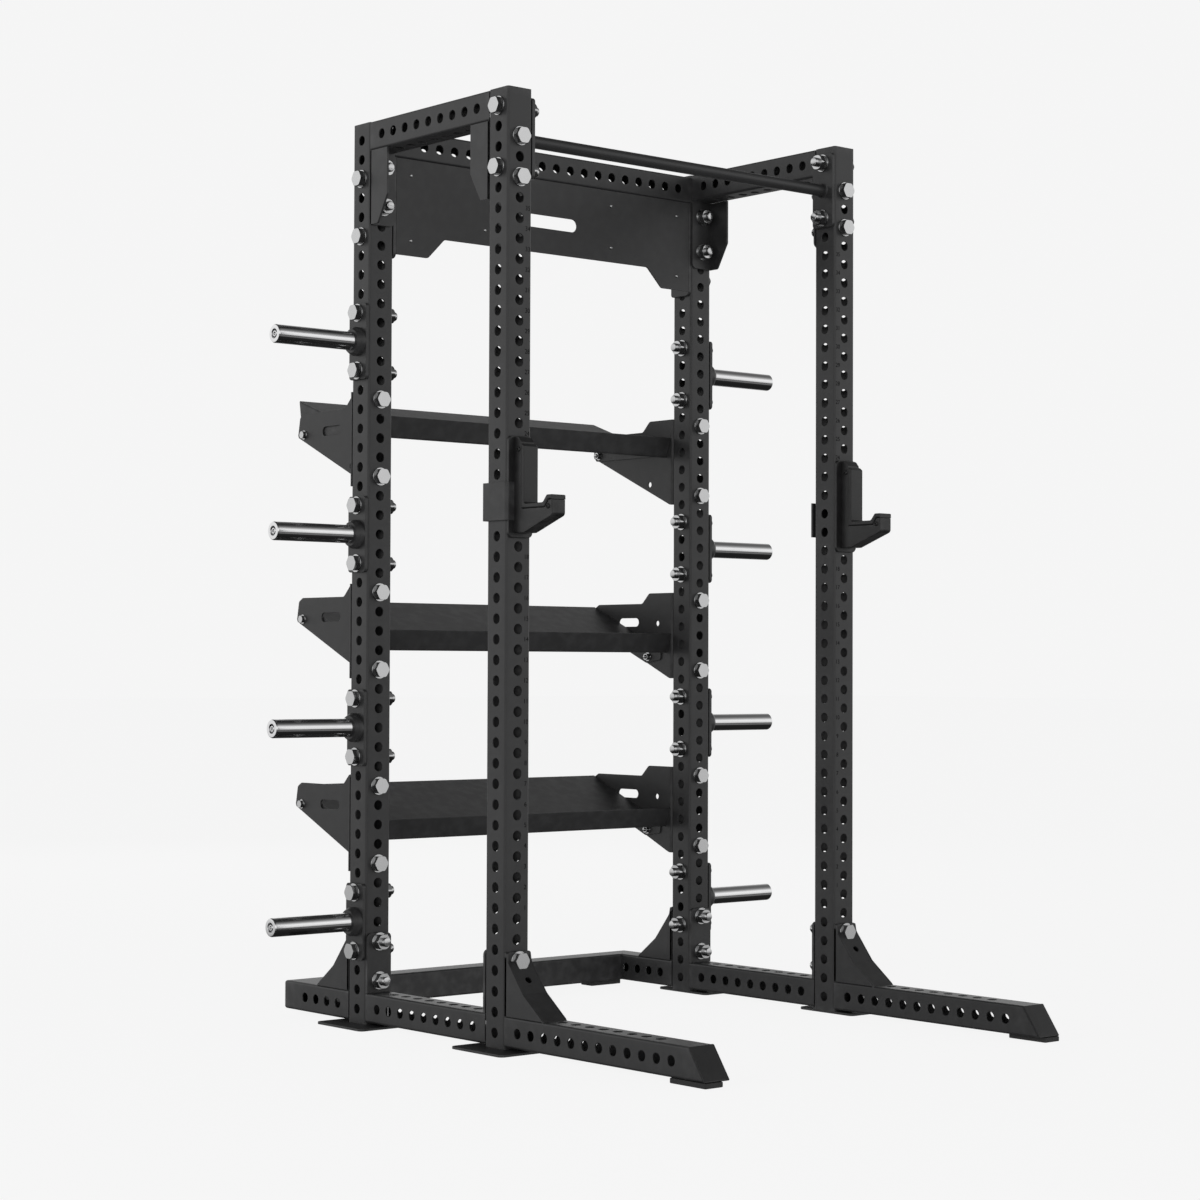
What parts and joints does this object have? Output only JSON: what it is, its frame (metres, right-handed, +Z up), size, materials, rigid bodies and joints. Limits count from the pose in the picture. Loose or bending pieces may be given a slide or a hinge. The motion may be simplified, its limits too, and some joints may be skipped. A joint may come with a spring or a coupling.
{
  "type": "power cage",
  "caption": "Steel power cage with perforated square uprights, pull-up bar, swinging bar cups, plate pegs and tilted rear trays on a splayed base.",
  "frame": {"origin": "on the floor, under the middle of the box round the whole cage", "axes": "+Z up, +Y from the lifter's side to the trays at the rear, +X to the right when facing the cage from the front"},
  "size_m": [1.7614, 1.7466, 2.3749],
  "materials": {
    "tube_coat": "satin black powder coat with a fine grain",
    "sheet_coat": "satin black powder coat on folded sheet steel",
    "chrome": "satin hard chrome, turned lengthwise",
    "zinc": "bright zinc plate",
    "plastic": "moulded black, lightly textured",
    "rubber": "matt black"
  },
  "bodies": {
    "root": {"front_left_foot_plate": "tube_coat", "front_left_upright": "tube_coat", "front_right_foot_plate": "tube_coat", "front_right_upright": "tube_coat", "header_plate": "sheet_coat", "left_bar_plate": "tube_coat", "left_base_rail": "tube_coat", "left_front_foot": "tube_coat", "left_front_foot_cap": "plastic", "left_front_pad": "rubber", "left_peg_bracket_1": "tube_coat", "left_peg_bracket_2": "tube_coat", "left_peg_bracket_3": "tube_coat", "left_peg_bracket_4": "tube_coat", "left_peg_sleeve_1": "chrome", "left_peg_sleeve_2": "chrome", "left_peg_sleeve_3": "chrome", "left_peg_sleeve_4": "chrome", "left_rear_foot": "tube_coat", "left_rear_pad": "rubber", "left_shelf_bracket_1": "sheet_coat", "left_shelf_bracket_2": "sheet_coat", "left_shelf_bracket_3": "sheet_coat", "left_top_crossmember": "tube_coat", "pull_up_bar": "tube_coat", "rear_base_tube": "tube_coat", "rear_left_foot_plate": "tube_coat", "rear_left_upright": "tube_coat", "rear_right_foot_plate": "tube_coat", "rear_right_upright": "tube_coat", "rear_top_crossmember": "tube_coat", "right_bar_plate": "tube_coat", "right_base_rail": "tube_coat", "right_front_foot": "tube_coat", "right_front_foot_cap": "plastic", "right_front_pad": "rubber", "right_peg_bracket_1": "tube_coat", "right_peg_bracket_2": "tube_coat", "right_peg_bracket_3": "tube_coat", "right_peg_bracket_4": "tube_coat", "right_peg_sleeve_1": "chrome", "right_peg_sleeve_2": "chrome", "right_peg_sleeve_3": "chrome", "right_peg_sleeve_4": "chrome", "right_rear_foot": "tube_coat", "right_rear_pad": "rubber", "right_shelf_bracket_1": "sheet_coat", "right_shelf_bracket_2": "sheet_coat", "right_shelf_bracket_3": "sheet_coat", "right_top_crossmember": "tube_coat", "tray_1": "sheet_coat", "tray_2": "sheet_coat", "tray_3": "sheet_coat"},
    "jcup_left": {"left_jcup_body": "tube_coat", "left_jcup_liner": "plastic", "left_jcup_pin": "zinc"},
    "jcup_right": {"right_jcup_body": "tube_coat", "right_jcup_liner": "plastic", "right_jcup_pin": "zinc"}
  },
  "joints": [
    {"name": "jcup_left_turn", "type": "hinge", "parent": "root", "child": "jcup_left", "pos_m": [-0.5715, -0.1472, 1.44145], "axis": [0, 1, 0], "range_deg": [0, 90]},
    {"name": "jcup_right_turn", "type": "hinge", "parent": "root", "child": "jcup_right", "pos_m": [0.5715, -0.1472, 1.44145], "axis": [0, -1, 0], "range_deg": [0, 90]}
  ]
}
